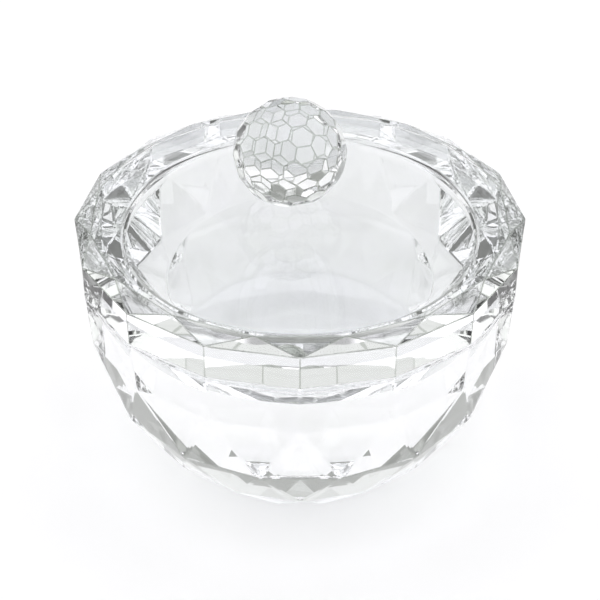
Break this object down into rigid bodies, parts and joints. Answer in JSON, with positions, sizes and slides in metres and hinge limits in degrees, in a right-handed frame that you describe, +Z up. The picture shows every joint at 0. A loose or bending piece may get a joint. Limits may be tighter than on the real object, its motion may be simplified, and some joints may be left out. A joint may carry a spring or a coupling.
{
  "type": "covered glass dish",
  "caption": "Round cut crystal dish with a shallow well, a loose faceted lid and a faceted ball knob.",
  "frame": {"origin": "middle of the dish's flat resting face", "axes": "+Z up along the axis of the dish, -Y towards the front corner of its outline, +X to the right seen from the front"},
  "size_m": [0.072, 0.072, 0.0629],
  "materials": {
    "crystal_glass": "polished",
    "clear_adhesive": "smooth"
  },
  "bodies": {
    "bowl": {"bowl": "crystal_glass"},
    "lid": {"lid": "crystal_glass", "knob": "crystal_glass", "knob_bond": "clear_adhesive"}
  },
  "joints": [
    {"name": "lid_lift", "type": "slide", "parent": "bowl", "child": "lid", "axis": [0, 0, 1], "range_m": [0, 0.04]}
  ]
}
